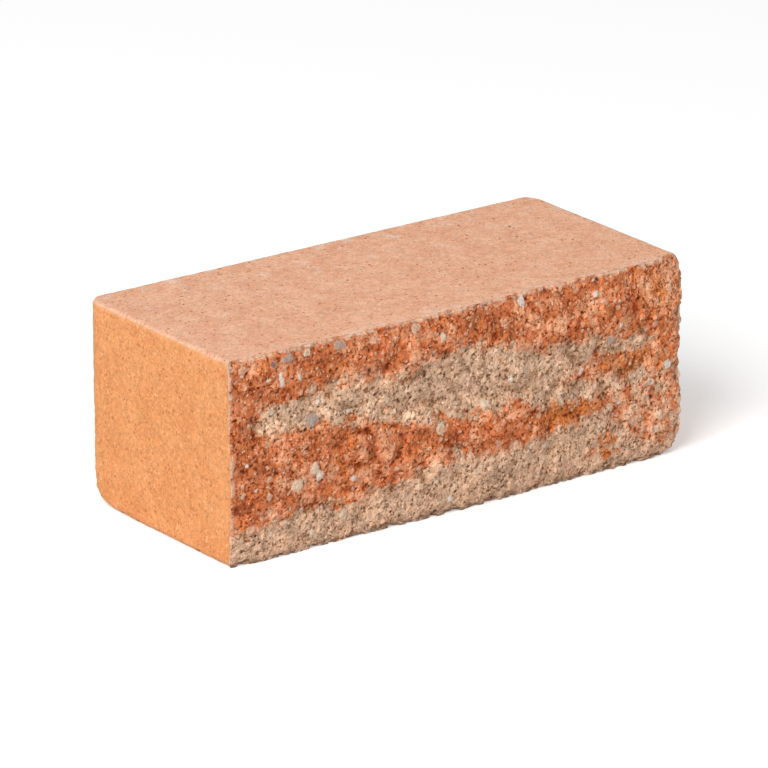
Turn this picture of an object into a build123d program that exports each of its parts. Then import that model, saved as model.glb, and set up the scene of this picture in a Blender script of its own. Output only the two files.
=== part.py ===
from build123d import *
import math
import os
from collections import namedtuple

# Driving dimensions of the block, in millimetres
length = 290.0  # along the wall
depth = 130.0  # from the back face to the mean plane of the split face
height = 110.0  # from the bed face to the top face
corner_radius = 11.0  # moulded vertical corners beside the back face
arris_radius = 2.5  # worn edge round the top and bed faces, along the ends and the back

# The split face, where the block was broken from its twin
crown = 2.6  # how far the middle of the break stands in front of its rim
rim_power = 6  # the higher this is, the closer to the rim the crown falls away
rim_hold = 1.5  # how firmly the splitting blades hold the swells of the break along its rim
break_overrun = 12.0  # how far the breaking surface runs past the ends, the top and the bed
survey_step = 4.0  # spacing of the points that the breaking surface is laid through
survey_tolerance = 0.1  # how closely the surface keeps to those points
survey_degree = 3  # degree of the surface in both directions

# Broad swells of the break: how high each one rises, its span from crest to crest, the
# slant of its travel from the wall's line in degrees, and its lead in radians
Swell = namedtuple("Swell", "rise span slant lead")
swells = (
    Swell(rise=1.4, span=150.0, slant=20.0, lead=0.7),
    Swell(rise=1.1, span=95.0, slant=-50.0, lead=2.3),
    Swell(rise=0.9, span=56.0, slant=84.0, lead=3.6),
)

# Clods of the break: rounded lumps with creases between them, where many waves cross
clod_rise = 1.3  # how high the clods stand
clod_waves = 9  # how many waves cross
widest_clod = 46.0  # span of the longest wave
narrowest_clod = 22.0  # span of the shortest wave
clod_turn = 137.5  # degrees from each wave's slant to the next one's, the golden angle
clod_crease = 0.8  # the higher this is, the rounder the creases
clod_hold = 6.0  # how firmly the splitting blades hold the clods along the rim


def wave(x, z, span, slant, lead):
    """A sine wave that travels across the face along its slant."""
    travel = x * math.cos(math.radians(slant)) + z * math.sin(math.radians(slant))
    return math.sin(2 * math.pi * travel / span + lead)


def clod_height(x, z):
    """The clods: the size of a sum of crossing waves, rounded where the sum passes zero. Leads that
    grow with the square of the count keep the waves out of step."""
    shrink = (narrowest_clod / widest_clod) ** (1 / (clod_waves - 1))
    crossing = sum(wave(x, z, widest_clod * shrink**i, clod_turn * i, i * i) for i in range(clod_waves))
    return clod_rise * (math.hypot(crossing * math.sqrt(2 / clod_waves), clod_crease) - 1)


def break_proud(x, z):
    """How far the break stands in front of the mean plane, at x along the wall and z up the face.
    The crown falls away towards the rim, and the swells and clods are calmer there."""
    rim = abs(2 * x / length) ** rim_power + abs(2 * z / height - 1) ** rim_power
    swelling = sum(swell.rise * wave(x, z, swell.span, swell.slant, swell.lead) for swell in swells)
    uneven = swelling / (1 + rim_hold * rim) + clod_height(x, z) / (1 + clod_hold * rim)
    return crown * (0.5 - rim) + uneven


def survey(low, high):
    """Evenly spaced stations from low to high, about one survey step apart."""
    steps = math.ceil((high - low) / survey_step)
    return [low + (high - low) * i / steps for i in range(steps + 1)]


def breaking_surface():
    """The free-form surface along which the block parts from its twin."""
    stations = survey(-length / 2 - break_overrun, length / 2 + break_overrun)
    levels = survey(-break_overrun, height + break_overrun)
    points = [[Vector(x, -depth / 2 - break_proud(x, z), z) for z in levels] for x in stations]
    return Face.make_surface_from_array_of_points(
        points, tol=survey_tolerance, min_deg=survey_degree, max_deg=survey_degree
    )


def cast_block():
    """The block as it leaves the mould, with its twin, as deep as itself, still in front: round
    back corners and worn arrises."""
    plan = Rectangle(length, 2 * depth, align=(Align.CENTER, Align.MAX))
    plan = fillet(plan.vertices().group_by(Axis.Y)[-1], corner_radius)
    block = extrude(Pos(0, depth / 2) * plan, height)
    bed, top = block.faces().sort_by(Axis.Z)[0], block.faces().sort_by(Axis.Z)[-1]
    arrises = [edge for face in (bed, top) for edge in face.edges().sort_by(Axis.Y)[1:]]
    return fillet(arrises, arris_radius)


def wall_block():
    """The cast block with its twin broken away along the breaking surface."""
    twin = extrude(breaking_surface(), amount=2 * depth, dir=(0, -1, 0))
    return cast_block() - twin


os.makedirs("parts", exist_ok=True)
block = wall_block()
export_step(block, "parts/wall_block.step")
box = block.bounding_box()
print("solids", len(block.solids()), "volume", round(block.volume), "box", box.min, box.max)
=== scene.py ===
import math

import bpy
import numpy as np
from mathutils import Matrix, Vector


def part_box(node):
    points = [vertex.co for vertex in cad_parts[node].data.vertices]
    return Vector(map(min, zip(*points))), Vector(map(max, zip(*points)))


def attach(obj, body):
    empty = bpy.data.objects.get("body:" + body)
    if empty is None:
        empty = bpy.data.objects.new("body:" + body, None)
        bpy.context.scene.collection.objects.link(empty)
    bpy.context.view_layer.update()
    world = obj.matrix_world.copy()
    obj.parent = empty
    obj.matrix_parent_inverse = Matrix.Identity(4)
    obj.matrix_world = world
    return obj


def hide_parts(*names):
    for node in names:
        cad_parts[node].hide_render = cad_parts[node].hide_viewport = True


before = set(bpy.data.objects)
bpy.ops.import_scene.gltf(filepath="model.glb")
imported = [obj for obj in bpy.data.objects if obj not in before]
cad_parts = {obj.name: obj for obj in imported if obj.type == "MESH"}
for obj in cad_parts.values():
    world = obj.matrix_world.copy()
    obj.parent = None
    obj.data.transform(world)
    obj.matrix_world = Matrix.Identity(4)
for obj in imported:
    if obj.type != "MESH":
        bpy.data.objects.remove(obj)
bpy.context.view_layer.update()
nodeLow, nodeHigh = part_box("wall_block")
mm = 0.001  # metres in a millimetre: shapes are worked out in millimetres and turned to metres at the end

# The moulded body, read from the solid, with its two radii
halfLength = (nodeHigh.x - nodeLow.x) / mm / 2
halfHeight = (nodeHigh.z - nodeLow.z) / mm / 2
bodyForm = {
    "back": nodeHigh.y / mm,  # the back face; the mean plane of the break is as far in front of the origin
    "foremost": nodeLow.y / mm,  # nothing of the break may pass this
    "cornerRadius": 11.0,  # vertical corners beside the back
    "arrisRadius": 2.5,  # worn edges
}

# The broad break, as the solid has it
breakForm = {
    "crown": 2.6,  # how far the middle stands in front of the rim
    "rimPower": 6,
    "rimHold": 1.5,  # how much calmer the swells are at the rim
    # rise, span, slant of travel in degrees and lead in radians of each swell
    "swells": (
        (1.4, 150.0, 20.0, 0.7),
        (1.1, 95.0, -50.0, 2.3),
        (0.9, 56.0, 84.0, 3.6),
    ),
    # clods: rise, widest and narrowest span, count of waves, turn between their slants, rounding of creases
    "clods": (1.3, 46.0, 22.0, 9, 137.5, 0.8),
    "clodHold": 6.0,  # how much calmer the clods are at the rim
}

# How finely the block is meshed; columns and rows are cells of the split face and divide by four
meshForm = {
    "columns": 404,
    "rows": 152,
    "rimPull": (0.012, 41, 0.034, 15),  # share and odd power that crowd the cells to the rim, along and up
    "firstStep": 0.9,  # first row of cells behind the rim
    "growth": 1.25,  # each row behind is this much longer
    "longestStep": 3.0,
    "backRows": 11,  # rows round the back corners
    "backInset": 3.0,  # width of the strip round the flat of the back
}

# The random fields: points along a side of the lattice, the gain that brings them to about 1, and first seeds
noiseForm = {"side": 64, "gain": 1.6}
seeds = {"torn": 11, "bend": 14, "placedBend": 16, "lumps": 21, "gravel": 31, "pits": 41, "chips": 51,
         "ragged": 61, "wave": 71, "ripple": 72, "arris": 73, "arrisFine": 74, "crumbs": 75, "waver": 81}


# Eases from 0 to 1: six t to the fifth less fifteen t to the fourth plus ten t cubed
def easeCurve(t):
    return t * t * t * (t * (6 * t - 15) + 10)


# Eases from 0 at low to 1 at high
def smoothStep(low, high, value):
    t = np.clip((value - low) / (high - low), 0, 1)
    return t * t * (3 - 2 * t)


# Falls from 1 to 0 as a bell over the reach
def bell(distance, reach):
    return np.exp(-((distance / reach) ** 2))


# Distance from a place on the face, given in shares, over the half width and half height there
def fromPlace(x, z, along, up, width, tall):
    return np.hypot((x - (2 * along - 1) * halfLength) / (width / 2), (z - 2 * up * halfHeight) / (tall / 2))


# Smooth random field from about -1 to 1: at each lattice point a seeded random slope, eased between the
# eight points round a place
def gradientNoise(place, cell, seed):
    side = noiseForm["side"]
    slopes = np.random.default_rng(seed).normal(size=(side, side, side, 3))
    slopes /= np.linalg.norm(slopes, axis=-1, keepdims=True)
    scaled = [axis / cell for axis in place]
    corner = [np.floor(axis).astype(int) for axis in scaled]
    inside = [axis - low for axis, low in zip(scaled, corner)]
    weight = [easeCurve(axis) for axis in inside]
    total = 0
    for step in np.ndindex(2, 2, 2):
        slope = slopes[tuple((low + s) % side for low, s in zip(corner, step))]
        rise = sum(slope[..., i] * (inside[i] - step[i]) for i in range(3))
        for w, s in zip(weight, step):
            rise = rise * (w if s else 1 - w)
        total = total + rise
    return noiseForm["gain"] * total


# Layers of noise, each half as wide as the one before and weaker by the fall
def layeredNoise(place, cell, layers, seed, fall):
    heights = [gradientNoise(place, cell / 2**i, seed + i) * fall**i for i in range(layers)]
    return sum(heights) / sum(fall**i for i in range(layers))


# One sine wave that travels across the face along its slant
def wave(x, z, span, slant, lead):
    travel = x * math.cos(math.radians(slant)) + z * math.sin(math.radians(slant))
    return np.sin(2 * np.pi * travel / span + lead)


# Rounded lumps with creases between them: the size of a sum of crossing waves, rounded where it passes zero
def clods(x, z):
    rise, widest, narrowest, count, turn, crease = breakForm["clods"]
    total = 0
    for i in range(count):
        total = total + wave(x, z, widest * (narrowest / widest) ** (i / (count - 1)), turn * i, i * i)
    return rise * (np.hypot(total * math.sqrt(2 / count), crease) - 1)


# How far the break stands in front of its mean plane: a crown that falls away at the rim, and swells and
# clods that grow calmer there
def breakProud(x, z):
    power = breakForm["rimPower"]
    rim = np.abs(x / halfLength) ** power + np.abs(z / halfHeight - 1) ** power
    swelling = sum(rise * wave(x, z, span, slant, lead) for rise, span, slant, lead in breakForm["swells"])
    uneven = swelling / (1 + breakForm["rimHold"] * rim) + clods(x, z) / (1 + breakForm["clodHold"] * rim)
    return breakForm["crown"] * (0.5 - rim) + uneven


# The marbling of the split face: orange mortar in wavy bands through the tan. Each band is a list of stations
# along the face, as shares of its length, with the band's lower and upper edge as shares of its height.
marbleForm = {
    "bands": (
        ((0.00, 0.58, 1.2), (0.08, 0.73, 1.2), (0.23, 0.79, 1.2), (0.33, 0.76, 1.2), (0.49, 0.81, 1.2),
         (0.58, 0.78, 1.2), (0.67, 0.72, 1.2), (0.78, 0.70, 1.2), (0.90, 0.66, 1.2), (1.00, 0.50, 1.2)),
        ((-0.05, 0.10, 0.80), (0.04, 0.17, 0.70), (0.08, 0.21, 0.62), (0.22, 0.20, 0.61), (0.38, 0.21, 0.52),
         (0.43, 0.29, 0.49), (0.56, 0.28, 0.47), (0.61, 0.28, 0.52), (0.66, 0.27, 0.43), (0.76, 0.29, 0.41),
         (0.83, 0.36, 0.36)),
        ((0.74, 0.52, 0.54), (0.79, 0.46, 0.59), (0.90, 0.47, 0.61), (1.05, 0.45, 0.69)),
        ((0.80, 0.33, 0.36), (0.86, 0.22, 0.39), (0.93, 0.09, 0.41), (1.05, 0.05, 0.46)),
        ((0.81, 0.14, 0.18), (0.83, 0.07, 0.22), (0.85, 0.10, 0.16)),
    ),
    "fullness": (99.0, 99.0, 99.0, 1.0, 1.0),  # how deep each band counts at most: a low one leaves it mixed
    "waver": ((17.0, 3.2), (8.0, 3.0), (4.0, 2.4)),  # width and depth of the wavering of the bands' edges
    "slice": 200.0,  # where the wavering is read across the random field
    "soft": 8.0,  # millimetres over which one mortar gives way to the other
    # places where the orange is yellower: shares of length and height, width and height
    "yellowPlaces": (
        (0.34, 0.53, 12.0, 16.0), (0.73, 0.37, 44.0, 20.0), (0.88, 0.55, 44.0, 18.0),
        (0.95, 0.86, 22.0, 24.0), (0.83, 0.15, 14.0, 18.0),
    ),
    # places where the mortar is paler or, with a minus, deeper: the same and how much
    "tonePlaces": (
        (0.34, 0.53, 14.0, 14.0, 0.4), (0.73, 0.37, 36.0, 16.0, -0.8), (0.95, 0.86, 34.0, 30.0, 0.5),
        (0.20, 0.92, 30.0, 14.0, -0.7), (0.95, 0.28, 28.0, 36.0, 0.7), (0.03, 0.50, 18.0, 80.0, -0.5),
        (0.15, 0.34, 36.0, 24.0, 0.4), (0.46, 0.40, 36.0, 16.0, -0.7), (0.75, 0.87, 44.0, 18.0, 0.3),
        (0.09, 0.08, 44.0, 16.0, 0.6), (0.86, 0.08, 40.0, 16.0, -0.2), (0.80, 0.50, 24.0, 14.0, 0.9),
        (0.90, 0.55, 30.0, 12.0, 0.3), (0.50, 0.90, 40.0, 14.0, -0.2),
    ),
}


# How yellow the orange mortar is: the nearest of the yellow places' bells
def yellowing(x, z):
    return np.max([bell(fromPlace(x, z, *spot), 1.0) for spot in marbleForm["yellowPlaces"]], axis=0)


# How pale or deep the mortar is: the tone places' bells added up
def toning(x, z):
    return sum(tone * bell(fromPlace(x, z, *spot), 1.0) for *spot, tone in marbleForm["tonePlaces"])


# Share of orange mortar: how deep inside the nearest band a place is, wavered by noise and eased over the
# soft edge
def marbling(x, z):
    along, up = x / halfLength / 2 + 0.5, z / halfHeight / 2
    depth = np.full_like(x, -np.inf)
    for band, fullness in zip(marbleForm["bands"], marbleForm["fullness"]):
        stations, lower, upper = (np.array(column) for column in zip(*band))
        within = np.minimum(up - np.interp(along, stations, lower), np.interp(along, stations, upper) - up)
        ends = np.minimum(along - stations[0], stations[-1] - along) * 2 * halfLength
        within = np.minimum(within * 2 * halfHeight, fullness)
        depth = np.maximum(depth, np.minimum(within, ends))
    place = (x, np.full_like(x, marbleForm["slice"]), z)
    for i, (width, reach) in enumerate(marbleForm["waver"]):
        depth = depth + reach * gradientNoise(place, width, seeds["waver"] + i)
    return smoothStep(-marbleForm["soft"], marbleForm["soft"], depth)


# Stones in the concrete: where each tint's share of the random draw begins, and its colour, linear
stoneTints = {
    "white": (0.00, (0.84, 0.79, 0.72, 1)),
    "cream": (0.04, (0.86, 0.67, 0.49, 1)),
    "buff": (0.18, (0.72, 0.49, 0.34, 1)),
    "rosy": (0.45, (0.80, 0.44, 0.29, 1)),
    "brown": (0.90, (0.42, 0.24, 0.15, 1)),
    "grey": (0.97, (0.45, 0.355, 0.31, 1)),
    "slate": (0.99, (0.16, 0.14, 0.15, 1)),
}

# Stones that stand out in the face: shares of its length and height, width, height and tint
placedStones = (
    # the slate stone at 0.185, 0.325 is painted shade: the shadow under the white stone just above it
    (0.172, 0.405, 5.0, 6.0, "cream"), (0.181, 0.365, 5.0, 7.0, "white"), (0.185, 0.325, 3.0, 4.0, "slate"),
    (0.108, 0.873, 4.0, 8.0, "white"), (0.144, 0.864, 3.5, 3.0, "white"), (0.088, 0.730, 5.5, 5.0, "cream"),
    (0.260, 0.300, 5.5, 4.5, "white"), (0.135, 0.345, 8.0, 7.0, "cream"), (0.636, 0.965, 5.0, 8.0, "white"),
    (0.830, 0.670, 7.0, 6.0, "grey"), (0.768, 0.545, 3.0, 3.0, "white"), (0.967, 0.470, 4.5, 5.5, "white"),
    (0.926, 0.405, 5.0, 5.0, "cream"), (0.946, 0.223, 4.0, 6.0, "cream"), (0.936, 0.155, 4.0, 4.0, "cream"),
    (0.170, 0.644, 9.0, 8.0, "grey"), (0.545, 0.510, 5.0, 4.0, "cream"), (0.723, 0.447, 4.0, 4.0, "slate"),
    (0.510, 0.280, 3.5, 3.0, "cream"), (0.640, 0.200, 6.5, 6.0, "buff"), (0.172, 0.085, 4.5, 5.0, "cream"),
    (0.376, 0.145, 4.5, 4.5, "buff"), (0.450, 0.895, 3.5, 6.5, "cream"), (0.235, 0.965, 8.0, 5.0, "grey"),
    (0.090, 0.955, 4.0, 4.0, "slate"), (0.040, 0.180, 5.0, 5.0, "rosy"), (0.032, 0.955, 8.0, 5.0, "rosy"),
    (0.124, 0.962, 7.0, 5.0, "grey"), (0.165, 0.965, 5.0, 4.0, "cream"), (0.305, 0.962, 4.5, 3.5, "rosy"),
    (0.395, 0.965, 6.0, 4.0, "buff"), (0.250, 0.636, 3.0, 3.0, "white"), (0.530, 0.195, 4.5, 4.0, "buff"),
    (0.680, 0.227, 2.6, 2.6, "white"), (0.850, 0.732, 3.2, 2.8, "white"), (0.047, 0.364, 2.4, 2.4, "white"),
)

# Hollows that stand out in the face: shares of its length and height, width, height and depth. A minus fills
# a crease.
placedHollows = (
    (0.306, 0.440, 12.0, 26.0, -1.3), (0.194, 0.760, 13.0, 10.0, 1.5), (0.116, 0.800, 9.0, 7.0, 1.0),
    (0.306, 0.900, 8.0, 7.0, 1.1), (0.332, 0.812, 9.0, 7.0, 1.0), (0.466, 0.812, 10.0, 7.0, 1.0),
    (0.565, 0.835, 14.0, 8.0, 1.2), (0.634, 0.812, 9.0, 7.0, 0.9), (0.888, 0.810, 10.0, 16.0, 1.4),
    (0.927, 0.735, 9.0, 8.0, 0.9), (0.888, 0.505, 13.0, 7.0, 1.2), (0.026, 0.295, 10.0, 12.0, 1.3),
    (0.052, 0.650, 8.0, 16.0, 1.3), (0.138, 0.477, 9.0, 8.0, 0.9), (0.228, 0.480, 12.0, 7.0, 1.0),
    (0.168, 0.215, 10.0, 7.0, 1.2), (0.319, 0.290, 10.0, 7.0, 0.9), (0.414, 0.443, 9.0, 7.0, 0.8),
    (0.470, 0.385, 15.0, 8.0, 1.1), (0.716, 0.315, 16.0, 7.0, 1.0),
)

# The split face's fine relief
reliefForm = {
    "lumps": (11.0, 1.1, 0.5),  # width and height of the rounded lumps, rounding of the creases between them
    "torn": (6.0, 4, 1.6, 0.7),  # widest unevenness of the torn mortar, layers, height and fall by layer
    "tanCalm": (0.2, 0.75),  # the tan mortar breaks more evenly, lumps and torn mortar by these shares
    "bend": (2.4, 0.7),  # width and reach of the bending of the stones' outlines
    "placedBend": (6.0, 1.7),  # the same of the placed stones
    # pitch, least and largest radius, share of cells with a stone, how far out, share that is bare
    "gravel": (
        (11.0, (1.8, 3.3), 0.40, 0.20, 0.15),
        (5.2, (0.9, 2.1), 0.65, 0.38, 0.13),
        (2.4, (0.45, 1.2), 0.85, 0.50, 0.12),
    ),
    "lattice": 256,  # cells along each side before the stones repeat
    "jitter": (0.15, 0.7),  # where in its cell a stone's middle lies: the least share and the random one
    "slim": (0.6, 0.4),  # width of a stone as a share of its length: the least and the random one
    "slant": 0.5,  # how much a stone's top rises along it
    "placedProud": 0.25,  # how far the placed stones stand out, as a share of their half width
    "tintInside": 0.005,  # how far inside its tint's share a placed stone's draw lies
    "pits": (3.4, (0.35, 0.95), 0.42, 1.1),  # as the gravel, with the depth as a share of the radius
    "hollowReach": (4, 13),  # cells over which a place is compared with its surroundings, fine and wide
    "hollowSpan": (3.0, 6.0),  # millimetres from the highest to the lowest that the painted shade in the hollows tells apart
}


# Gravel of one size: an ellipse with a flattened, slanting top in some cells of a jittered lattice. Gives the
# top's height, how far inside the stone a place is, and two random draws for it.
def scatterGravel(x, z, pitch, radii, share, seed):
    side = reliefForm["lattice"]
    least, spread = reliefForm["jitter"]
    slimmest, fuller = reliefForm["slim"]
    draws = np.random.default_rng(seed).random((8, side, side))
    height, inside, tint, luck = (np.zeros_like(x) for _ in range(4))
    for stepX, stepZ in np.ndindex(3, 3):
        cellX = np.floor(x / pitch).astype(int) + stepX - 1
        cellZ = np.floor(z / pitch).astype(int) + stepZ - 1
        jitterX, jitterZ, there, size, turn, slim, hue, chance = draws[:, cellX % side, cellZ % side]
        away = x - (cellX + least + spread * jitterX) * pitch
        above = z - (cellZ + least + spread * jitterZ) * pitch
        radius = radii[0] + (radii[1] - radii[0]) * size**2
        turned = turn * np.pi
        u = (away * np.cos(turned) + above * np.sin(turned)) / radius
        w = (above * np.cos(turned) - away * np.sin(turned)) / (radius * (slimmest + fuller * slim))
        dome = np.sqrt(np.clip(1 - (u * u + w * w) ** 2, 0, None))
        dome = dome * (1 + reliefForm["slant"] * u) * (there < share)
        higher = dome * radius > height
        height = np.where(higher, dome * radius, height)
        inside = np.where(higher, dome, inside)
        tint = np.where(higher, hue, tint)
        luck = np.where(higher, chance, luck)
    return height, inside, tint, luck


# Moves places by noise along both axes, so that outlines become uneven
def bendOutlines(axes, place, width, reach, seed):
    return [axis + reach * gradientNoise(place, width, seed + i) for i, axis in enumerate(axes)]


# Mean of a grid over a square of cells round each point, by running sums
def spreadOut(grid, reach):
    padded = np.pad(grid, reach + 1, mode="edge").cumsum(0).cumsum(1)
    span = 2 * reach + 1
    sums = padded[span:, span:] - padded[:-span, span:] - padded[span:, :-span] + padded[:-span, :-span]
    return sums[: grid.shape[0], : grid.shape[1]] / span**2


# Height of the torn face over the solid's break: rounded lumps and layered noise, calmer in the tan, hollows,
# stones standing out and pits sunk in, with how bare each place's stone is, its tint and the pits
def splitRelief(x, z, orange):
    place = (x, np.zeros_like(x), z)
    lumpCalm, tornCalm = (calm + (1 - calm) * orange for calm in reliefForm["tanCalm"])
    width, rise, crease = reliefForm["lumps"]
    level = lumpCalm * rise * np.hypot(gradientNoise(place, width, seeds["lumps"]), crease)
    width, layers, rise, fall = reliefForm["torn"]
    level = level + tornCalm * rise * layeredNoise(place, width, layers, seeds["torn"], fall)
    for *spot, depth in placedHollows:
        level = level - depth * bell(fromPlace(x, z, *spot), 1.0)
    bentX, bentZ = bendOutlines((x, z), place, *reliefForm["bend"], seeds["bend"])
    wideX, wideZ = bendOutlines((bentX, bentZ), place, *reliefForm["placedBend"], seeds["placedBend"])
    stone, tint = np.zeros_like(x), np.zeros_like(x)
    for i, (pitch, radii, share, proud, bare) in enumerate(reliefForm["gravel"]):
        dome, inside, hue, luck = scatterGravel(bentX, bentZ, pitch, radii, share, seeds["gravel"] + i)
        level = level + proud * dome
        shows = (inside > 0) & (luck < bare)
        stone, tint = np.where(shows, inside, stone), np.where(shows, hue, tint)
    pitch, radii, share, depth = reliefForm["pits"]
    hole, pit, _, _ = scatterGravel(bentX, bentZ, pitch, radii, share, seeds["pits"])
    for along, up, width, tall, name in placedStones:
        dome = np.sqrt(np.clip(1 - fromPlace(wideX, wideZ, along, up, width, tall) ** 4, 0, None))
        level = level + dome * reliefForm["placedProud"] * min(width, tall) / 2
        stone = np.where(dome > 0, dome, stone)
        tint = np.where(dome > 0, stoneTints[name][0] + reliefForm["tintInside"], tint)
        pit = pit * (dome <= 0)
    level = level - depth * hole * (pit > 0)
    return level - level.mean(), stone * (pit <= 0), tint, pit


# The broken rim: chips along it, and corners that are lost
rimForm = {
    # width, threshold and depth of each size of chip
    "chips": ((12.0, 0.0, 4.5), (5.0, 0.0, 3.4), (2.2, 0.1, 1.4)),
    "leftShare": 0.35,  # the chips' share of their depth along the left end, over the reach after it
    "leftReach": 6.0,
    "reach": 3.0,  # how far the chips run into the split face
    "pull": 0.5,  # share of a chip's depth that it takes off the top, bed or end
    "pullReach": 1.3,
    "ragged": (2.4, 0.35),  # width and depth of the finest raggedness of the edge
    "calm": (3.0, 0.6),  # the relief is lower this near to the rim, and its share at the rim itself
    "leastRoom": 0.1,  # least room for the relief in front of the break
    "stoneFree": 2.0,  # over this width the stones fade towards the rim
    "wornReach": 1.6,  # how far from the rim the finish looks worn
    "lostCorners": ((1, -1, 8.0, 4.5), (1, 1, 4.5, 3.0)),  # side, top or bed, reach and depth
}


# Spreads t from -1 to 1 with the steps crowded towards both ends: a straight line less an odd power
def crowdToEnds(count, pull, power):
    t = np.linspace(-1, 1, count + 1)
    return (1 + pull) * t - pull * t**power


# How far places are into the square at each corner of the face, along and up
def intoCorners(x, z, radius):
    cornerX = np.clip(np.abs(x) - (halfLength - radius), 0, None)
    return cornerX, np.clip(np.abs(z - halfHeight) - (halfHeight - radius), 0, None)


# Rounds the corners of a rectangle: the square at each corner becomes a quarter disc, by the ellipse map
def roundCorners(x, z, radius):
    cornerX, cornerZ = intoCorners(x, z, radius)
    shortX = cornerX * (1 - np.sqrt(1 - cornerZ**2 / (2 * radius**2)))
    shortZ = cornerZ * (1 - np.sqrt(1 - cornerX**2 / (2 * radius**2)))
    return x - np.sign(x) * shortX, z - np.sign(z - halfHeight) * shortZ


# The edge of a grid as one loop: along the bottom, up the right, back along the top and down the left
def edgeLoop(grid):
    return np.concatenate([grid[0, :-1], grid[:-1, -1], grid[-1, :0:-1], grid[:0:-1, 0]])


# Depth of the chips along the rim: noise over a threshold, less at the left end, and bells at lost corners
def rimChips(x, z):
    place = (x, np.zeros_like(x), z)
    chip = np.zeros_like(x)
    for i, (width, threshold, depth) in enumerate(rimForm["chips"]):
        chip += depth * np.clip(gradientNoise(place, width, seeds["chips"] + i) - threshold, 0, None)
    chip *= 1 - (1 - rimForm["leftShare"]) * bell(halfLength + x, rimForm["leftReach"])
    for sideX, sideZ, reach, depth in rimForm["lostCorners"]:
        chip += depth * bell(np.hypot(x - sideX * halfLength, z - (1 + sideZ) * halfHeight), reach)
    return chip


# The split face: a grid over the rounded rectangle, the solid's break with the fine relief on it, kept behind
# the solid's foremost point, and chips that push the rim back and pull it in
def splitFace():
    pullX, powerX, pullZ, powerZ = meshForm["rimPull"]
    flatX = crowdToEnds(meshForm["columns"], pullX, powerX) * halfLength
    flatZ = crowdToEnds(meshForm["rows"], pullZ, powerZ) * halfHeight + halfHeight
    flatX, flatZ = np.meshgrid(flatX, flatZ)
    x, z = roundCorners(flatX, flatZ, bodyForm["arrisRadius"])
    orange = marbling(x, z)
    level, stone, tint, pit = splitRelief(x, z, orange)
    fromEnd = halfLength - np.abs(flatX)
    fromBed = halfHeight - np.abs(flatZ - halfHeight)
    fromRim = np.minimum(fromEnd, fromBed)
    chip = rimChips(x, z)
    width, depth = rimForm["ragged"]
    ragged = depth * np.abs(gradientNoise((x, np.zeros_like(x), z), width, seeds["ragged"]))
    inward = rimForm["pull"] * chip + ragged
    broad = breakProud(x, z)
    calmReach, calmShare = rimForm["calm"]
    level = level * (calmShare + (1 - calmShare) * smoothStep(0, calmReach, fromRim))
    room = np.maximum(-bodyForm["back"] - bodyForm["foremost"] - broad, rimForm["leastRoom"])
    level = np.where(level > 0, room * (1 - np.exp(-np.clip(level, 0, None) / room)), level)
    proud = broad + level - chip * bell(fromRim, rimForm["reach"])
    # how far each place sinks below its surroundings, fine and wide, which the finish darkens as painted
    # shade
    fine, wide = (spreadOut(proud, reach) - proud for reach in reliefForm["hollowReach"])
    x = x - np.sign(x) * inward * bell(fromEnd, rimForm["pullReach"])
    z = z - np.sign(z - halfHeight) * inward * bell(fromBed, rimForm["pullReach"])
    y = np.maximum(-bodyForm["back"] - proud, bodyForm["foremost"])
    stone = stone * smoothStep(0, rimForm["stoneFree"], fromRim)
    worn = bell(fromRim, rimForm["wornReach"])
    return {"flatX": flatX, "flatZ": flatZ, "x": x, "y": y, "z": z, "worn": worn, "orange": orange,
            "yellow": yellowing(x, z), "tone": toning(x, z), "stone": stone, "tint": tint, "pit": pit,
            "fine": fine, "wide": wide}


# Wear of the moulded faces: a slight waviness all over, arrises rubbed and crumbled, and a lost corner
wearForm = {
    "wave": (28.0, 0.10),  # width and depth of the waviness
    "ripple": (5.0, 0.05),  # the same of a finer one
    "arris": (7.0, 0.25, 0.8),  # width, least and random wear of an arris
    "arrisFine": (2.8, 0.5),  # width and depth of its fine wear
    "bedArris": 1.9,  # the bed's arrises are this much worse
    "crumbs": (3.4, 0.30, 2.4),  # width, threshold and depth of the crumbs lost from the bed's arrises
    "backCorner": 0.8,  # wear of the round back corners, as a share of an arris's
    # the lost corner: which side of each axis, and its reach and depth along each
    "lostCorner": (("x", -1, 12.0, 2.0), ("y", 1, 15.0, 2.5), ("z", -1, 6.5, 3.5)),
}


# Distances of the rows behind the rim, growing to the longest step and scaled to end where the back
# corners begin
def rowsBehindRim(run):
    steps, total = [], 0
    while total < run:
        steps.append(min(meshForm["longestStep"], meshForm["firstStep"] * meshForm["growth"] ** len(steps)))
        total += steps[-1]
    return np.cumsum(steps) * run / total


# Depth of wear at places on the moulded faces, given how far each is round an arris
def faceWear(x, y, z, arrisShare):
    place = (x, y, z)
    width, depth = wearForm["wave"]
    wear = depth * (1 + gradientNoise(place, width, seeds["wave"])) / 2
    width, depth = wearForm["ripple"]
    wear = wear + depth * (1 + gradientNoise(place, width, seeds["ripple"])) / 2
    width, least, random = wearForm["arris"]
    rubbed = least + random * np.clip(gradientNoise(place, width, seeds["arris"]), 0, None)
    width, depth = wearForm["arrisFine"]
    rubbed = rubbed + depth * np.abs(gradientNoise(place, width, seeds["arrisFine"]))
    width, threshold, depth = wearForm["crumbs"]
    crumbs = depth * np.clip(gradientNoise(place, width, seeds["crumbs"]) - threshold, 0, None)
    rubbed = np.where(z < halfHeight, rubbed * wearForm["bedArris"] + crumbs, rubbed)
    return np.clip(wear + arrisShare * rubbed, 0, None)


# Moves the points near the lost corner towards the block's middle, by a bell of the distance as a multiple of
# the reach along each axis
def loseCorner(part):
    middle = {"x": 0.0, "y": 0.0, "z": halfHeight}
    half = {"x": halfLength, "y": bodyForm["back"], "z": halfHeight}
    apart = 0
    for axis, side, reach, _ in wearForm["lostCorner"]:
        apart = apart + ((part[axis] - middle[axis] - side * half[axis]) / reach) ** 2
    lost = np.exp(-apart)
    for axis, side, _, depth in wearForm["lostCorner"]:
        part[axis] = part[axis] - side * depth * lost


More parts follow.
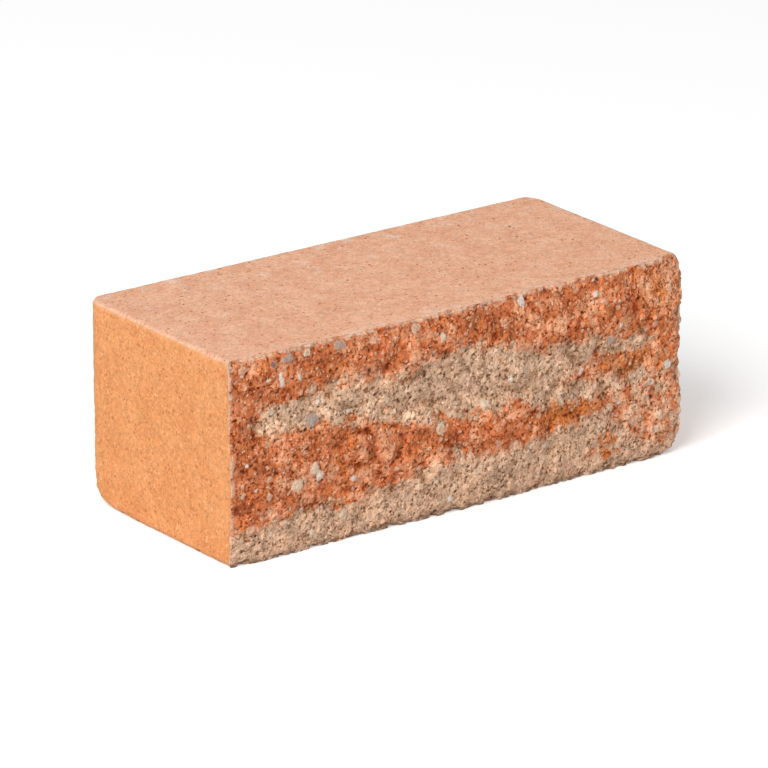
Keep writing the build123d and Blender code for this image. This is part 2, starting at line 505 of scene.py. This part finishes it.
# The moulded sides: the rim's loop carried back in rows, then round the back corners, where the section
# shrinks by the corner radius in length and by the arris radius in height
def mouldedSides(face):
    radius, arris, back = bodyForm["cornerRadius"], bodyForm["arrisRadius"], bodyForm["back"]
    flatX, flatZ = edgeLoop(face["flatX"])[::2], edgeLoop(face["flatZ"])[::2]
    loopX, loopZ = roundCorners(flatX, flatZ, arris)
    rimY = edgeLoop(face["y"])[::2]
    straight = rowsBehindRim(2 * back - radius)
    share = straight / straight[-1]
    turn = np.linspace(0, np.pi / 2, meshForm["backRows"] + 1)[1:]
    straightY = rimY + share[:, None] * (back - radius - rimY)
    cornerY = np.repeat((back - radius + radius * np.sin(turn))[:, None], len(loopX), 1)
    y = np.vstack([straightY, cornerY])
    shortX = np.concatenate([np.zeros(len(share)), radius * (1 - np.cos(turn))])[:, None]
    intoArris = np.clip(y - (back - arris), 0, arris)
    shortZ = arris - np.sqrt(arris**2 - intoArris**2)
    x = loopX * (halfLength - shortX) / halfLength
    z = halfHeight + (loopZ - halfHeight) * (halfHeight - shortZ) / halfHeight
    cornerX, cornerZ = intoCorners(loopX, loopZ, arris)
    outX = np.sign(loopX) * cornerX / np.hypot(cornerX, cornerZ)
    outZ = np.sign(loopZ - halfHeight) * cornerZ / np.hypot(cornerX, cornerZ)
    arrisShare = np.maximum(2 * cornerX * cornerZ / arris**2, intoArris / arris * (cornerZ > 0))
    rounding = np.concatenate([np.zeros(len(share)), wearForm["backCorner"] * np.sin(2 * turn)])[:, None]
    arrisShare = np.maximum(arrisShare, rounding * (cornerX > 0))
    wear = faceWear(x, y, z, arrisShare)
    distance = np.concatenate([straight, straight[-1] + radius * turn])
    sides = {"x": x - outX * wear, "y": y, "z": z - outZ * wear, "plainX": x[-1], "plainZ": z[-1],
             "arris": arrisShare, "up": outZ, "distance": distance}
    loseCorner(sides)
    return sides


# The flat of the back: a coarse grid blended between its four edges, which are every second point of the
# sides' last row, drawn in by the inset
def backFlat(sides):
    rows, columns = meshForm["rows"] // 4, meshForm["columns"] // 4
    inset = meshForm["backInset"]
    across = np.linspace(0, 1, columns + 1)[None, :]
    up = np.linspace(0, 1, rows + 1)[:, None]
    loops = {"x": sides["plainX"][::2] * (1 - inset / sides["plainX"].max()),
             "z": halfHeight + (sides["plainZ"][::2] - halfHeight) * (1 - inset / halfHeight)}
    flat = {}
    for axis, loop in loops.items():
        bottom = loop[: columns + 1]
        right = loop[columns : columns + rows + 1, None]
        top = loop[columns + rows : 2 * columns + rows + 1][::-1]
        left = np.append(loop[2 * columns + rows :], loop[0])[::-1, None]
        corners = (1 - up) * ((1 - across) * bottom[0] + across * bottom[-1])
        corners = corners + up * ((1 - across) * top[0] + across * top[-1])
        flat[axis] = (1 - up) * bottom + up * top + (1 - across) * left + across * right - corners
    flat["y"] = np.full_like(flat["x"], bodyForm["back"])
    flat["y"] = flat["y"] - faceWear(flat["x"], flat["y"], flat["z"], 0.0)
    loseCorner(flat)
    return flat


# Where each face's part of the bake map lies, in millimetres of surface: corner and scale on a square sheet
mapForm = {
    "sheet": 560.0,
    "split": (5.0, 5.0, 1.4), "top": (5.0, 165.0, 1.0), "left": (300.0, 165.0, 1.0),
    "bed": (5.0, 306.0, 1.0), "right": (300.0, 306.0, 1.0), "back": (5.0, 447.0, 1.0),
}


# Puts surface millimetres on the sheet
def onSheet(part, across, up):
    left, low, scale = mapForm[part]
    return np.stack([left + across * scale, low + up * scale], -1) / mapForm["sheet"]


# The four corners of each cell of a grid, across then up, or up then across to face the other way
def cellCorners(grid, upFirst=False):
    corners = [grid[:-1, :-1], grid[:-1, 1:], grid[1:, 1:], grid[1:, :-1]]
    return np.stack(corners[:1] + corners[:0:-1] if upFirst else corners, 2)


# Joins the three surfaces into one closed mesh, faces outwards. Between two loops, the finer with twice the
# points, each coarse step takes three triangles.
def joinSurfaces(face, sides, flat):
    rows, columns = meshForm["rows"], meshForm["columns"]
    surfaces = (face, sides, flat)
    places = np.stack([np.concatenate([part[axis].ravel() for part in surfaces]) for axis in "xyz"], -1)
    ends = np.cumsum([part["x"].size for part in surfaces])
    faceIds, sideIds, flatIds = (
        np.arange(end - part["x"].size, end).reshape(part["x"].shape) for end, part in zip(ends, surfaces))

    faceQuads = cellCorners(faceIds)
    faceMap = cellCorners(onSheet("split", face["flatX"] + halfLength, face["flatZ"]))
    sideQuads = cellCorners(np.column_stack([sideIds, sideIds[:, 0]]), upFirst=True)
    flatQuads = cellCorners(flatIds, upFirst=True)
    flatMap = cellCorners(onSheet("back", flat["x"] + halfLength, flat["z"]), upFirst=True)

    loopX, loopZ = edgeLoop(face["flatX"]), edgeLoop(face["flatZ"])
    distance = sides["distance"]
    parts = ["bed"] * columns + ["right"] * rows + ["top"] * columns + ["left"] * rows
    level = np.array([part in ("bed", "top") for part in parts])
    corner = np.array([mapForm[part][:2] for part in parts])
    fineFrom = np.where(level, loopX + halfLength, loopZ)
    fineTo = np.where(level, np.roll(loopX, -1) + halfLength, np.roll(loopZ, -1))

    def sheetPlace(along, down, step):
        return np.stack([corner[::step, 0] + along, corner[::step, 1] + down], -1) / mapForm["sheet"]

    def stripMap(step, down):
        return sheetPlace(fineFrom[::step], down, step), sheetPlace(fineTo[step - 1 :: step], down, step)

    here, there = (np.stack(edge) for edge in zip(*(stripMap(2, down) for down in distance)))
    sideMap = np.stack([here[:-1], here[1:], there[1:], there[:-1]], -2)

    def zipLoops(fine, coarse, step, down, below):
        middle, last, nextCoarse = fine[1::2], np.roll(fine[::2], -1), np.roll(coarse, -1)
        corners = ((fine[::2], coarse, middle), (middle, coarse, nextCoarse), (middle, nextCoarse, last))
        a, b = stripMap(2 * step, down)
        m = sheetPlace(fineTo[step - 1 :: 2 * step], down, 2 * step)
        c, d = stripMap(2 * step, below)
        maps = ((a, c, m), (m, c, d), (m, d, b))
        return (np.concatenate([np.stack(three, -1) for three in corners]),
                np.concatenate([np.stack(three, -2) for three in maps]))

    frontZip, frontZipMap = zipLoops(edgeLoop(faceIds), sideIds[0], 1, 0.0, distance[0])
    below = distance[-1] + meshForm["backInset"]
    backZip, backZipMap = zipLoops(sideIds[-1], edgeLoop(flatIds), 2, distance[-1], below)
    quads = np.concatenate([part.reshape(-1, 4) for part in (faceQuads, sideQuads, flatQuads)])
    triangles = np.concatenate([frontZip, backZip])
    maps = (faceMap, sideMap, flatMap, frontZipMap, backZipMap)
    sheet = np.concatenate([part.reshape(-1, 2) for part in maps])
    return places, quads, triangles, sheet


# A new object in the scene
def addObject(name, data):
    thing = bpy.data.objects.new(name, data)
    bpy.context.scene.collection.objects.link(thing)
    return thing


# The block's mesh, with what its finish reads at each point. "faceMix" holds the split face, worn edges and
# how far a point faces up or down; the mortar's mix holds how orange and yellow the mortar is and how far the
# face sinks in fine and wide hollows, which the finish darkens as painted shade; "stoneMix" holds the bare
# stones, their tint, the pits, which the finish paints dark as shade, and how pale the mortar is.
def buildBlock():
    face = splitFace()
    sides = mouldedSides(face)
    flat = backFlat(sides)
    places, quads, triangles, sheet = joinSurfaces(face, sides, flat)
    mesh = bpy.data.meshes.new("split_wall_block")
    mesh.from_pydata((places * mm).tolist(), [], quads.tolist() + triangles.tolist())
    mesh.uv_layers.new(name="OFBake").data.foreach_set("uv", sheet.astype(np.float32).ravel())
    mesh.polygons.foreach_set("use_smooth", np.ones(len(mesh.polygons), bool))
    # how sunk each place is, fine and wide, for the painted shade in the hollows
    fineSpan, wideSpan = reliefForm["hollowSpan"]
    fine = np.clip(0.5 + face["fine"] / fineSpan, 0, 1)
    wide = np.clip(0.5 + face["wide"] / wideSpan, 0, 1)
    tone, facing = 0.5 + face["tone"] / 2, 0.5 + sides["up"] / 2
    # four numbers in each, given for the split face, the sides and the back
    mixes = {
        "faceMix": ((1, 0, 0), (face["worn"], sides["arris"], 0), (0.5, facing, 0.5), (1, 1, 1)),
        "mortarAndShadeMix": ((face["orange"], 1, 1), (face["yellow"], 0, 0), (fine, 0.5, 0.5), (wide, 0.5, 0.5)),
        "stoneMix": ((face["stone"], 0, 0), (face["tint"], 0, 0), (face["pit"], 0, 0), (tone, 0.5, 0.5)),
    }
    blanks = [np.zeros_like(part["x"]) for part in (face, sides, flat)]
    for name, columns in mixes.items():
        filled = [[(value + blank).ravel() for value, blank in zip(column, blanks)] for column in columns]
        colours = np.stack([np.concatenate(column) for column in filled], -1).astype(np.float32)
        mesh.attributes.new(name, "FLOAT_COLOR", "POINT").data.foreach_set("color", colours.ravel())
    mesh.update()
    print("block", len(mesh.vertices), "points", len(quads) * 2 + len(triangles), "triangles")
    return addObject("split_wall_block", mesh)


# The empty node tree of a material or a sky
def emptyTree(owner):
    owner.use_nodes = True
    owner.node_tree.nodes.clear()
    return owner.node_tree


# Adds a node with its settings, in the tree given or that of the sockets among its inputs. Inputs go by name
# or number: a socket is linked, a value is set.
def addNode(kind, inputs, tree=None, **settings):
    sockets = {name: value for name, value in inputs.items() if isinstance(value, bpy.types.NodeSocket)}
    for socket in sockets.values():
        tree = socket.id_data
    node = tree.nodes.new("ShaderNode" + kind)
    for name, value in settings.items():
        setattr(node, name, value)
    for name, value in inputs.items():
        if name in sockets:
            tree.links.new(value, node.inputs[name])
        else:
            node.inputs[name].default_value = value
    return node


# Ends a material's tree with one shader, given its inputs
def addSurface(inputs):
    shader = addNode("BsdfPrincipled", inputs)
    addNode("OutputMaterial", {"Surface": shader.outputs[0]})


# Arithmetic on two or more values, from the first to the last
def calc(operation, first, *others):
    for other in others:
        first = addNode("Math", {0: first, 1: other}, operation=operation).outputs[0]
    return first


# A value times a gain plus an offset
def scaled(value, gain, offset=0.0):
    return addNode("Math", {0: value, 1: gain, 2: offset}, operation="MULTIPLY_ADD").outputs[0]


# A value plus others, each by its own gain and offset
def swayed(value, others, gains):
    for other, (gain, offset) in zip(others, gains):
        value = calc("ADD", value, scaled(other, gain, offset))
    return value


# Mixes two colours by a share, or multiplies the first by the second
def blend(share, first, second, mode="MIX"):
    return addNode("Mix", {0: share, 6: first, 7: second}, data_type="RGBA", blend_type=mode).outputs[2]


# Makes a colour lighter or darker by a factor
def shaded(colour, factor):
    grey = addNode("CombineColor", {0: factor, 1: factor, 2: factor}).outputs[0]
    return blend(1.0, colour, grey, "MULTIPLY")


# Eases a value from 0 at low to the full amount at high
def eased(value, low, high, full=1.0):
    inputs = {"Value": value, "From Min": low, "From Max": high, "To Max": full}
    return addNode("MapRange", inputs, interpolation_type="SMOOTHSTEP").outputs[0]


# Eases from 0 to 1 along an axis of the block, between two places in millimetres
def alongAxis(coords, axis, low, high):
    return eased(addNode("SeparateXYZ", {0: coords}).outputs[axis], low * mm, high * mm)


# Soft noise of a size in millimetres, from 0 to 1, or in three colours
def cloud(coords, size, detail, output="Fac"):
    inputs = {"Vector": coords, "Scale": 1 / (size * mm), "Detail": detail}
    return addNode("TexNoise", inputs).outputs[output]


# Soft patches: noise eased from 0 at low to the full amount at high
def patches(coords, size, detail, low, high, full=1.0):
    return eased(cloud(coords, size, detail), low, high, full)


# Coordinates bent by soft noise of a size and reach in millimetres, for uneven outlines
def bent(coords, size, reach):
    inputs = {0: cloud(coords, size, 1.0, "Color"), 1: (2 * reach * mm,) * 3, 2: coords}
    return addNode("VectorMath", inputs, operation="MULTIPLY_ADD").outputs[0]


# Grains of a size in millimetres: the distance from each one's middle and three random numbers for it
def grains(coords, size):
    node = addNode("TexVoronoi", {"Vector": coords, "Scale": 1 / (size * mm)})
    draws = addNode("SeparateColor", {0: node.outputs["Color"]})
    return node.outputs["Distance"], draws.outputs


# Dots where a grain's random number is over a threshold, as wide as a share of its size, soft at the edge
def dots(distance, draw, kind, amount=1.0):
    threshold, width, strength = kind
    dot = eased(distance, width, width * concreteForm["dotCore"], strength * amount)
    return calc("MULTIPLY", calc("GREATER_THAN", draw, threshold), dot)


# What both finishes share. Colours are linear, sizes in millimetres. Noise is a size and detail, levels are
# where a thing begins and is full, with its amount, patches are both, dots a threshold, width and strength.
concreteForm = {
    "pale": (0.93, 0.70, 0.52, 1),
    # the dark colour at the block's foot, on the bed's arrises and at the split face's foot
    "footDark": (0.16, 0.09, 0.06, 1),
    "dotCore": 0.6,  # the part of a dot's width that is full
    "grain": 1.5,  # grains of the torn mortar
    "bend": (1.6, 0.9),  # size and reach of the bending of their outlines
    "roughness": 0.92,
    "specular": 0.25,
    "bumpDepth": 0.8,
    "sandNoise": (0.9, 3),  # fine relief of the moulded faces, and its rise
    "sandRise": 0.3,
    "tornNoise": (1.6, 4),  # that of the split face, its rise, and how far its grains' gaps sink
    "tornRise": 1.6,
    "gapSink": 0.5,
}

mouldedForm = {
    "endMottle": (16, 6, 0.3, 0.7),
    "endColours": ((0.78, 0.315, 0.115, 1), (0.83, 0.365, 0.143, 1)),
    "topMottle": (12, 6, 0.3, 0.7),
    "topColours": ((0.86, 0.430, 0.262, 1), (0.93, 0.520, 0.340, 1)),
    "topTurn": (0.7, 0.95),  # levels of the top's colours, by how far a face turns up or down
    "scuff": (0.94, 0.74, 0.62, 1),
    # scuffs along the back and the front of the top: patches, and levels along the depth
    "scuffs": (((9, 6, 0.54, 0.72, 0.6), (10.0, 55.0)), ((7, 4, 0.35, 0.65, 0.55), (-54.0, -65.0))),
    "sand": ((1.1, 1.0), (2.2, 0.8)),  # size and amount of each kind
    "sandShade": 0.20,  # how much the grains differ in lightness
    "paleDots": (0.90, 0.50, 0.60),
    "endPale": (0.95, 0.56, 0.30, 1),  # the pale dots' colour on the ends
    "rustDots": (0.86, 0.52, 0.65),
    "rust": (0.45, 0.13, 0.045, 1),
    "rustOnTop": 1.6,  # how much stronger the rust is on top
    "rustOnArris": 0.9,  # how much weaker it is on an arris
    "arrisPale": 0.18,
    # darkening on the bed's arrises: levels by how far they turn down and how worn they are, and patches
    "footDarkTurn": (0.42, 0.30),
    "footDarkWear": (0.15, 0.5),
    "footDarkPatches": (3.0, 3, 0.52, 0.60, 0.8),
}


# Colour of the moulded faces: faint mottling, paler and pinker on top, with scuffs along its back and front,
# sand of two sizes with pale and rusty dots, pale arrises, and darker patches on the bed's arrises
def mouldedColour(coords, facing, worn):
    form = mouldedForm
    end = blend(patches(coords, *form["endMottle"]), *form["endColours"])
    top = blend(patches(coords, *form["topMottle"]), *form["topColours"])
    level = eased(calc("MAXIMUM", facing, scaled(facing, -1.0, 1.0)), *form["topTurn"])
    base = blend(level, end, top)
    for kind, reach in form["scuffs"]:
        scuffs = calc("MULTIPLY", patches(coords, *kind), level, alongAxis(coords, "Y", *reach))
        base = blend(scuffs, base, form["scuff"])
    pale = blend(level, form["endPale"], concreteForm["pale"])
    onTop = scaled(level, form["rustOnTop"], 1.0)
    rustShare = calc("MULTIPLY", onTop, scaled(worn, -form["rustOnArris"], 1.0))
    for size, amount in form["sand"]:
        sand, draws = grains(bent(coords, size, size / 2), size)
        shade = form["sandShade"] * amount
        base = shaded(base, scaled(draws[0], shade, 1 - shade / 2))
        base = blend(dots(sand, draws[1], form["paleDots"], amount), base, pale)
        rusty = calc("MULTIPLY", dots(sand, draws[2], form["rustDots"], amount), rustShare)
        base = blend(rusty, base, form["rust"])
    base = blend(scaled(worn, form["arrisPale"]), base, concreteForm["pale"])
    low = calc("MULTIPLY", eased(facing, *form["footDarkTurn"]), eased(worn, *form["footDarkWear"]))
    footDark = calc("MULTIPLY", low, patches(coords, *form["footDarkPatches"]))
    return blend(footDark, base, concreteForm["footDark"])


# Pairs of colours are the tan mortar's and the orange one's, unless a note says otherwise
splitForm = {
    "clump": 4.0,
    # what sways the share of orange: gain and offset of noise, grains and clumps
    "mixNoise": (5, 4),
    "mixGains": ((1.2, -0.6), (0.2, -0.1), (0.4, -0.2)),
    "mixLevels": (0.2, 0.8),
    "tanMottle": (6, 5, 0.25, 0.75),
    "tanColours": ((0.70, 0.43, 0.276, 1), (0.91, 0.60, 0.412, 1)),  # deep and light
    "orangeNoise": (15, 2),
    "orangeGains": ((1.8, -0.9),),
    "orangeLevels": (-0.2, 0.9),
    "orangeColours": ((0.72, 0.205, 0.074, 1), (0.82, 0.250, 0.062, 1)),  # redder and yellower
    "broadNoise": (14, 2),  # broad patches that are lighter or darker
    # what sways how pale the orange is: wide hollows, broad patches and the tone; by the wide hollows it is
    # paler on proud lumps and less pale in hollows, partly painted highlight and shade, partly dust
    "paleNoise": (7, 3),
    "paleGains": ((-0.8, 0.4), (1.0, -0.5), (0.7, -0.35)),
    "paleLevels": (0.41, 0.85),
    "orangePale": (0.87, 0.405, 0.225, 1),
    "shadeGains": ((0.9, 0.55), (0.4, 0.8), (0.32, 0.86), (0.36, 0.83)),  # by patch, tone, grain and clump
    # painted shade in the crevices between grains: levels of distance from a grain's middle, patches, and the
    # tan and orange colours it multiplies by
    "gapShadeLevels": (0.40, 0.70),
    "gapShadePatches": (2.6, 3, 0.44, 0.58),
    "gapShadeColours": ((0.41, 0.32, 0.23, 1), (0.46, 0.27, 0.12, 1)),
    "paleDots": (0.87, 0.48, 0.8),
    "dotColours": ((0.90, 0.74, 0.56, 1), (0.92, 0.60, 0.40, 1)),
    "stoneLevels": (0.1, 0.6, 0.8),
    # painted shade in the hollows: levels of how far a place sinks, fine and wide, patches, and the tan and
    # orange colours it multiplies by
    "fineShadeLevels": (0.54, 0.80),
    "wideShadeLevels": (0.52, 0.68),
    "wideShadePatches": (9, 3, 0.30, 0.62),
    "hollowShadeColours": ((0.66, 0.55, 0.44, 1), (0.52, 0.32, 0.16, 1)),
    # painted shade in the pits: levels and amount, and the near black painted in them
    "pitShadeLevels": (0.25, 0.75, 0.85),
    "pit": (0.12, 0.05, 0.025, 1),
    "chalkPatches": (6, 3, 0.38, 0.60, 0.75),
    "footDarkHeights": (4.0, 1.0),  # levels of the darkening at the foot
    "footDarkPatches": (3.0, 3, 0.40, 0.56, 0.75),
}


# The stones' tints as steps of a ramp over their random draws
def stoneColour(tint):
    ramp = addNode("ValToRGB", {0: tint})
    ramp.color_ramp.interpolation = "CONSTANT"
    for place, colour in stoneTints.values():
        stop = ramp.color_ramp.elements.new(place) if place else ramp.color_ramp.elements[0]
        stop.color = colour
    ramp.color_ramp.elements.remove(ramp.color_ramp.elements[-1])
    return ramp.outputs[0]


# Colour of the split face: tan and orange mortar by the marbling, the orange redder, yellower or paler by
# place and paler on proud lumps, partly as painted highlight and partly as dust, grains and clumps lighter or
# darker, painted shade in the gaps between grains, pale dots, bare stones in their own tints, painted shade
# in the hollows and pits, a chalky rim, and darker patches at the foot
def splitColour(coords, worn, mortarAndShade, stones):
    form = splitForm
    orange, yellow, fine, wide = mortarAndShade
    stone, tint, pit, tone = stones
    uneven = bent(coords, *concreteForm["bend"])
    grain, draws = grains(uneven, concreteForm["grain"])
    _, clumpDraws = grains(uneven, form["clump"])
    broad = cloud(coords, *form["broadNoise"])
    mixers = (cloud(coords, *form["mixNoise"]), draws[2], clumpDraws[2])
    share = eased(swayed(orange, mixers, form["mixGains"]), *form["mixLevels"])
    tan = blend(patches(coords, *form["tanMottle"]), *form["tanColours"])
    drift = swayed(yellow, (cloud(coords, *form["orangeNoise"]),), form["orangeGains"])
    warm = blend(eased(drift, *form["orangeLevels"]), *form["orangeColours"])
    # paler on proud lumps and less pale in wide hollows: partly painted highlight and shade, partly dust
    pale = swayed(cloud(coords, *form["paleNoise"]), (wide, broad, tone), form["paleGains"])
    warm = blend(eased(pale, *form["paleLevels"]), warm, form["orangePale"])
    base = blend(share, tan, warm)
    for value, (gain, offset) in zip((broad, tone, draws[0], clumpDraws[0]), form["shadeGains"]):
        base = shaded(base, scaled(value, gain, offset))
    # painted shade in the crevices between the grains
    gapShade = calc("MULTIPLY", eased(grain, *form["gapShadeLevels"]), patches(coords, *form["gapShadePatches"]))
    base = blend(gapShade, base, blend(share, *form["gapShadeColours"]), "MULTIPLY")
    base = blend(dots(grain, draws[1], form["paleDots"]), base, blend(share, *form["dotColours"]))
    base = blend(eased(stone, *form["stoneLevels"]), base, stoneColour(tint))
    # painted shade: darker where the face sinks below its surroundings, fine and wide, less at the worn rim
    hollowShade = blend(share, *form["hollowShadeColours"])
    inner = scaled(worn, -1.0, 1.0)
    hollowShadeShare = calc("MULTIPLY", eased(fine, *form["fineShadeLevels"]), inner)
    base = blend(hollowShadeShare, base, hollowShade, "MULTIPLY")
    hollowShadeShare = calc("MULTIPLY", eased(wide, *form["wideShadeLevels"]), inner, patches(coords, *form["wideShadePatches"]))
    base = blend(hollowShadeShare, base, hollowShade, "MULTIPLY")
    # painted shade: the pits are painted near black, as the shade inside them
    base = blend(eased(pit, *form["pitShadeLevels"]), base, form["pit"])
    chalk = calc("MULTIPLY", worn, patches(coords, *form["chalkPatches"]))
    base = blend(chalk, base, concreteForm["pale"])
    foot = alongAxis(coords, "Z", *form["footDarkHeights"])
    footDark = calc("MULTIPLY", foot, patches(coords, *form["footDarkPatches"]))
    return blend(footDark, base, concreteForm["footDark"])


# Reads a point attribute: its three colours and its alpha
def readPoints(tree, name):
    node = addNode("Attribute", {}, tree, attribute_name=name)
    parts = addNode("SeparateColor", {0: node.outputs["Color"]}).outputs
    return parts[0], parts[1], parts[2], node.outputs["Alpha"]


# The whole finish: the two colours by face, a matt surface, and fine relief, coarser on the split face
def concreteFinish():
    material = bpy.data.materials.new("marbledConcrete")
    tree = emptyTree(material)
    form = concreteForm
    coords = addNode("TexCoord", {}, tree).outputs["Object"]
    split, worn, facing, _ = readPoints(tree, "faceMix")
    moulded = mouldedColour(coords, facing, worn)
    torn = splitColour(coords, worn, readPoints(tree, "mortarAndShadeMix"), readPoints(tree, "stoneMix"))
    sand = scaled(cloud(coords, *form["sandNoise"]), form["sandRise"])
    grit, _ = grains(bent(coords, *form["bend"]), form["grain"])
    rough = scaled(cloud(coords, *form["tornNoise"]), form["tornRise"])
    rough = calc("SUBTRACT", rough, scaled(grit, form["gapSink"]))
    height = addNode("Mix", {0: split, 2: sand, 3: rough}).outputs[0]
    bump = addNode("Bump", {"Height": height, "Distance": form["bumpDepth"] * mm})
    addSurface({
        "Base Color": blend(split, moulded, torn),
        "Roughness": form["roughness"],
        "Specular IOR Level": form["specular"],
        "Normal": bump.outputs[0],
    })
    return material


# The studio: a pale floor, one soft lamp and an even sky, in metres
studioForm = {
    "floorHalf": 12.0,
    "floorColour": (0.92, 0.92, 0.92, 1),
    "floorLift": 0.32,  # light that only the camera sees, so that the floor is white outside the shadow
    "sky": 0.40,
    "skyColour": (1.0, 1.0, 1.0, 1),
    "lampDirection": (-0.65, -0.37, 0.665),
    "lampDistance": 4.5,
    "lampSize": 2.0,
    "lampPower": 146.0,
    "lampAim": (0.0, 0.0, 0.05),
}


# A square floor under the block, matt and near white
def layFloor():
    half = studioForm["floorHalf"]
    corners = [(-half, -half, 0), (half, -half, 0), (half, half, 0), (-half, half, 0)]
    mesh = bpy.data.meshes.new("floor")
    mesh.from_pydata(corners, [], [(0, 1, 2, 3)])
    material = bpy.data.materials.new("paleFloor")
    tree = emptyTree(material)
    seen = addNode("LightPath", {}, tree).outputs["Is Camera Ray"]
    addSurface({
        "Base Color": studioForm["floorColour"],
        "Roughness": 1.0,
        "Specular IOR Level": 0.0,
        "Emission Color": studioForm["skyColour"],
        "Emission Strength": scaled(seen, studioForm["floorLift"]),
    })
    mesh.materials.append(material)
    floor = addObject("floor", mesh)


# Turns an object's -Z axis from its place to a point
def aimAt(thing, point):
    thing.rotation_euler = (Vector(point) - thing.location).to_track_quat("-Z", "Y").to_euler()


# An even sky, white where it is seen, and the lamp
def lightStudio():
    world = bpy.data.worlds.new("studio")
    bpy.context.scene.world = world
    tree = emptyTree(world)
    path = addNode("LightPath", {}, tree).outputs
    looks = [path[kind] for kind in ("Is Camera Ray", "Is Glossy Ray", "Is Transmission Ray")]
    strength = calc("MAXIMUM", *looks, studioForm["sky"])
    sky = addNode("Background", {"Color": studioForm["skyColour"], "Strength": strength})
    addNode("OutputWorld", {"Surface": sky.outputs[0]})
    light = bpy.data.lights.new("keyLamp", "AREA")
    light.size = studioForm["lampSize"]
    light.energy = studioForm["lampPower"]
    lamp = addObject("keyLamp", light)
    away = Vector(studioForm["lampDirection"]).normalized() * studioForm["lampDistance"]
    lamp.location = Vector(studioForm["lampAim"]) + away
    aimAt(lamp, studioForm["lampAim"])


# The camera stands off at the photograph's angle, far away, with a long lens
cameraForm = {"azimuth": -36.6, "elevation": 19.5, "distance": 3.6, "lens": 325.0,
              "aim": (-0.003, -0.002, 0.052)}


# A camera on a sphere round its aim
def standCamera():
    azimuth, elevation = math.radians(cameraForm["azimuth"]), math.radians(cameraForm["elevation"])
    back = Vector((math.sin(azimuth) * math.cos(elevation), -math.cos(azimuth) * math.cos(elevation),
                   math.sin(elevation)))
    camera = addObject("camera", bpy.data.cameras.new("camera"))
    camera.data.lens = cameraForm["lens"]
    camera.location = Vector(cameraForm["aim"]) + back * cameraForm["distance"]
    aimAt(camera, cameraForm["aim"])
    bpy.context.scene.camera = camera


block = buildBlock()
block.data.materials.append(concreteFinish())
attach(block, "root")
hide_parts("wall_block")
print("finish done")

layFloor()
lightStudio()
standCamera()
bpy.context.scene.view_settings.view_transform = "Standard"
print("studio done")
